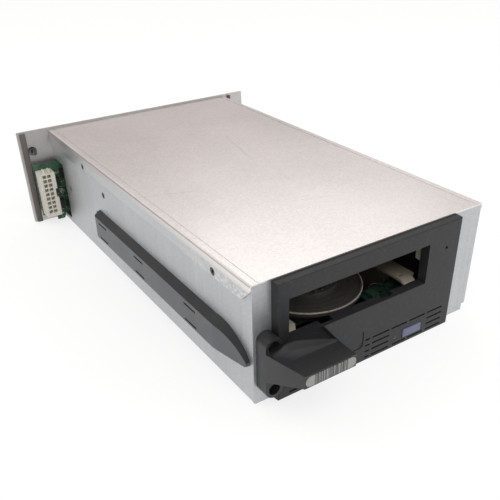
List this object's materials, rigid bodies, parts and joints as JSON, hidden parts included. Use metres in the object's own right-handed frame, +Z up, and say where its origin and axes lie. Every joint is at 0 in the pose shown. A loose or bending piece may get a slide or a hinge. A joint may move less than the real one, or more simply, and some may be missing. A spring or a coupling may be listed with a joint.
{
  "type": "data tape drive",
  "caption": "Full-height data tape drive in a sheet-metal tray with a cover, side rails, a wide rear plate, a side power connector, a cartridge bezel and a target bracket.",
  "frame": {"origin": "middle of the tray's flat underside", "axes": "+Z up, +Y towards the rear plate, +X to the right seen from the front"},
  "size_m": [0.2355, 0.3861, 0.086],
  "materials": {
    "zinc_sheet": "zinc-coated steel sheet, dull bluish grey",
    "cover_sheet": "zinc-coated steel sheet with fine grain",
    "plate_sheet": "zinc-coated steel plate",
    "lid_sheet": "bare steel sheet",
    "die_cast": "bare die-cast aluminium",
    "fin_aluminium": "extruded aluminium",
    "black_screw": "black oxide steel screws",
    "steel_screw": "plain steel screws, pins and shafts",
    "motor_can": "black painted steel cans",
    "bezel_plastic": "dark grey moulded plastic",
    "rail_plastic": "grey moulded plastic",
    "bracket_plastic": "dark grey moulded plastic, fine texture",
    "label_film": "printed film label with plain dark stripes",
    "button_plastic": "lilac moulded plastic",
    "cream_plastic": "cream moulded plastic",
    "dark_plastic": "black moulded plastic",
    "reel_plastic": "pale grey moulded plastic",
    "head_ceramic": "polished head face",
    "board_green": "green circuit board with solder mask",
    "connector_plastic": "off-white moulded plastic",
    "contact_metal": "tinned brass contacts",
    "foam": "conductive foam gasket",
    "light_lens": "clear light guide",
    "capacitor_sleeve": "dark sleeve"
  },
  "bodies": {
    "chassis": {"board_screws": "steel_screw", "board_standoffs": "steel_screw", "bracket_screws": "steel_screw", "chassis_screws": "steel_screw", "connector_contacts": "contact_metal", "converter_board": "board_green", "converter_capacitors": "capacitor_sleeve", "converter_heatsink": "fin_aluminium", "cover_screws": "black_screw", "data_ports": "dark_plastic", "drive_chassis": "die_cast", "drive_lid": "lid_sheet", "eject_switch": "dark_plastic", "fan_frame": "dark_plastic", "fan_screws": "steel_screw", "front_bezel": "bezel_plastic", "front_board": "board_green", "head_frame": "die_cast", "head_motor": "motor_can", "head_shafts": "steel_screw", "interface_board": "board_green", "left_gasket": "foam", "left_guide": "cream_plastic", "left_rail": "rail_plastic", "lift_pins": "steel_screw", "loader_board": "board_green", "path_plate": "die_cast", "power_connector": "connector_plastic", "rail_screws": "steel_screw", "rear_plate": "plate_sheet", "rear_plate_screws": "steel_screw", "right_gasket": "foam", "right_guide": "cream_plastic", "right_rail": "rail_plastic", "roller_pins": "steel_screw", "screw_ferrules": "steel_screw", "status_light": "light_lens", "takeup_motor": "motor_can", "target_bracket": "bracket_plastic", "target_label": "label_film", "top_cover": "cover_sheet", "tray_base": "zinc_sheet"},
    "eject_button": {"eject_button": "button_plastic"},
    "spindle_lift": {"lift_plate": "die_cast", "supply_motor": "motor_can"},
    "supply_spindle": {"supply_hub": "dark_plastic"},
    "lift_cam": {"lift_cam": "dark_plastic"},
    "takeup_reel": {"takeup_hub": "reel_plastic", "takeup_lower_flange": "reel_plastic", "takeup_upper_flange": "reel_plastic"},
    "roller_1": {"guide_roller_1": "reel_plastic"},
    "roller_2": {"guide_roller_2": "reel_plastic"},
    "roller_3": {"guide_roller_3": "reel_plastic"},
    "roller_4": {"guide_roller_4": "reel_plastic"},
    "head": {"head_carriage": "dark_plastic", "tape_head": "head_ceramic"},
    "leadscrew": {"head_leadscrew": "steel_screw"},
    "fan_rotor": {"fan_rotor": "dark_plastic"},
    "left_thumbscrew": {"left_thumbscrew": "steel_screw"},
    "right_thumbscrew": {"right_thumbscrew": "steel_screw"}
  },
  "joints": [
    {"name": "button_push", "type": "slide", "parent": "chassis", "child": "eject_button", "axis": [0, 1, 0], "range_m": [0, 0.0015], "stiffness_N_per_m": 300, "springref_m": -0.001},
    {"name": "spindle_rise", "type": "slide", "parent": "chassis", "child": "spindle_lift", "axis": [0, 0, 1], "range_m": [0, 0.005]},
    {"name": "cam_stroke", "type": "slide", "parent": "chassis", "child": "lift_cam", "axis": [0, -1, 0], "range_m": [0, 0.02]},
    {"name": "supply_spin", "type": "hinge", "parent": "spindle_lift", "child": "supply_spindle", "pos_m": [-0.0159, -0.115, 0.034], "axis": [0, 0, 1], "continuous": true},
    {"name": "takeup_spin", "type": "hinge", "parent": "chassis", "child": "takeup_reel", "pos_m": [-0.0056, 0.011, 0.03], "axis": [0, 0, 1], "continuous": true},
    {"name": "roller_1_spin", "type": "hinge", "parent": "chassis", "child": "roller_1", "pos_m": [-0.048, -0.049, 0.037], "axis": [0, 0, 1], "continuous": true},
    {"name": "roller_2_spin", "type": "hinge", "parent": "chassis", "child": "roller_2", "pos_m": [-0.0645, -0.035, 0.037], "axis": [0, 0, 1], "continuous": true},
    {"name": "roller_3_spin", "type": "hinge", "parent": "chassis", "child": "roller_3", "pos_m": [-0.0645, 0.017, 0.037], "axis": [0, 0, 1], "continuous": true},
    {"name": "roller_4_spin", "type": "hinge", "parent": "chassis", "child": "roller_4", "pos_m": [-0.05, 0.048, 0.037], "axis": [0, 0, 1], "continuous": true},
    {"name": "head_stroke", "type": "slide", "parent": "chassis", "child": "head", "axis": [0, 0, 1], "range_m": [0, 0.008]},
    {"name": "leadscrew_spin", "type": "hinge", "parent": "chassis", "child": "leadscrew", "pos_m": [-0.0695, -0.009, 0.04], "axis": [0, 0, 1], "continuous": true},
    {"name": "fan_spin", "type": "hinge", "parent": "chassis", "child": "fan_rotor", "pos_m": [0.045, 0.157, 0.043], "axis": [0, 1, 0], "continuous": true},
    {"name": "left_thumbscrew_turn", "type": "hinge", "parent": "chassis", "child": "left_thumbscrew", "pos_m": [-0.1106, 0.1686, 0.0678], "axis": [0, 1, 0], "continuous": true},
    {"name": "right_thumbscrew_turn", "type": "hinge", "parent": "chassis", "child": "right_thumbscrew", "pos_m": [0.1056, 0.1686, 0.0678], "axis": [0, 1, 0], "continuous": true}
  ],
  "couplings": [
    {"joint": "cam_stroke", "follows": "spindle_rise", "ratio": 4},
    {"joint": "leadscrew_spin", "follows": "head_stroke", "rad_per_m": 3141.6}
  ]
}
